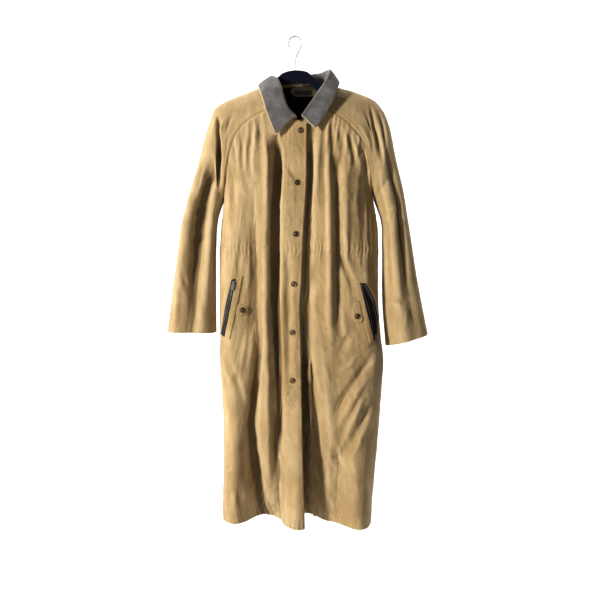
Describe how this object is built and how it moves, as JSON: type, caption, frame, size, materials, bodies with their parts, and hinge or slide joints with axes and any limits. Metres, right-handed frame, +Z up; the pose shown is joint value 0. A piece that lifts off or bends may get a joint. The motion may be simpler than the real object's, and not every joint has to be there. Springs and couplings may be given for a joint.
{
  "type": "canvas trench coat on a hanger",
  "caption": "Long canvas raglan coat with corduroy collar, snap placket, gathered waist and zipped pockets, hanging buttoned on a wire-hooked hanger.",
  "frame": {"origin": "inside top of the hanger hook's bend, where a rod carries it", "axes": "+Z up along the hanging coat, +X towards the wearer's left, +Y from the coat's front to its back"},
  "size_m": [0.7139, 0.173, 1.3216],
  "materials": {
    "canvas": "matte woven cotton canvas",
    "pale_canvas": "matte canvas, paler",
    "corduroy": "ribbed cotton pile",
    "lining": "dark plain weave",
    "label": "plain woven tape, blank",
    "zip_tape": "black woven tape",
    "zip_metal": "worn grey metal",
    "snap_brass": "dark antique, satin",
    "hanger_flock": "flocked, near black",
    "hook_steel": "polished wire"
  },
  "bodies": {
    "coat": {"back": "canvas", "front_right": "canvas", "front_left": "canvas", "sleeve_right": "canvas", "sleeve_left": "canvas", "placket": "canvas", "pocket_welt_right": "canvas", "pocket_welt_left": "canvas", "pocket_tab_right": "canvas", "pocket_tab_left": "canvas", "collar_under": "pale_canvas", "neck_facing": "pale_canvas", "collar_top": "corduroy", "neck_lining": "lining", "neck_label": "label", "pocket_zip_right": "zip_tape", "pocket_zip_left": "zip_tape", "zip_slider_right": "zip_metal", "zip_slider_left": "zip_metal", "front_snap_1": "snap_brass", "front_snap_2": "snap_brass", "front_snap_3": "snap_brass", "front_snap_4": "snap_brass", "front_snap_5": "snap_brass", "front_snap_6": "snap_brass", "tab_snap_right": "snap_brass", "tab_snap_left": "snap_brass", "hanger": "hanger_flock", "hanger_hook": "hook_steel"},
    "zip_pull_right": {"zip_pull_right": "zip_metal"},
    "zip_pull_left": {"zip_pull_left": "zip_metal"}
  },
  "joints": [
    {"name": "zip_pull_right_swing", "type": "hinge", "parent": "coat", "child": "zip_pull_right", "pos_m": [-0.1635, -0.0548, -0.648], "axis": [-0.9751, 0.0979, 0.199], "range_deg": [0, 110]},
    {"name": "zip_pull_left_swing", "type": "hinge", "parent": "coat", "child": "zip_pull_left", "pos_m": [0.2185, -0.0422, -0.7928], "axis": [-0.776, -0.6182, -0.1254], "range_deg": [0, 110]}
  ]
}
